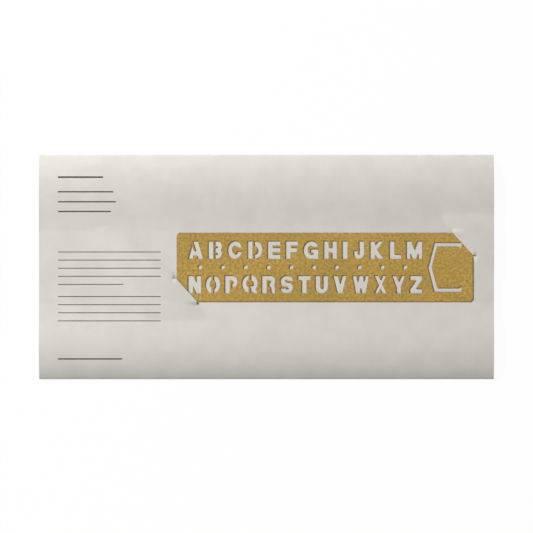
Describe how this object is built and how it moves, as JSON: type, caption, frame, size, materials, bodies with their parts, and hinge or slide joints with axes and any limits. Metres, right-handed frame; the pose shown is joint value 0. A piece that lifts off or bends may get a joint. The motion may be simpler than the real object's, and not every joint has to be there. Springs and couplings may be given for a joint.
{
  "type": "lettering stencil",
  "caption": "Flat brass stencil with rows of capital letters, dot holes and a clip tongue, its corners tucked into slits in a flat paper sleeve.",
  "frame": {"origin": "under the middle of the paper sleeve, on the surface that it lies on", "axes": "+X along the rows of letters in reading order, +Y up the letters, +Z out of the sleeve's face, towards the reader"},
  "size_m": [0.146, 0.072, 0.003],
  "materials": {
    "brass": "fine brushed, unlacquered",
    "paper": "uncoated, warm off-white",
    "dried_glue": "clear dried film"
  },
  "bodies": {
    "card": {"paper_sleeve": "paper", "seam_glue": "dried_glue", "corner_tab_upper_right": "paper", "corner_tab_lower_left": "paper"},
    "stencil": {"stencil_plate": "brass"},
    "tongue": {"clip_tongue": "brass"}
  },
  "joints": [
    {"name": "plate_lift", "type": "slide", "parent": "card", "child": "stencil", "axis": [0, 0, 1], "range_m": [0, 0.015], "deforming": ["corner_tab_upper_right", "corner_tab_lower_left"]},
    {"name": "tongue_flex", "type": "hinge", "parent": "stencil", "child": "tongue", "pos_m": [0.06252, 0, 0.00242], "axis": [0, 1, 0], "range_deg": [0, 10], "stiffness_Nm_per_rad": 0.9}
  ]
}
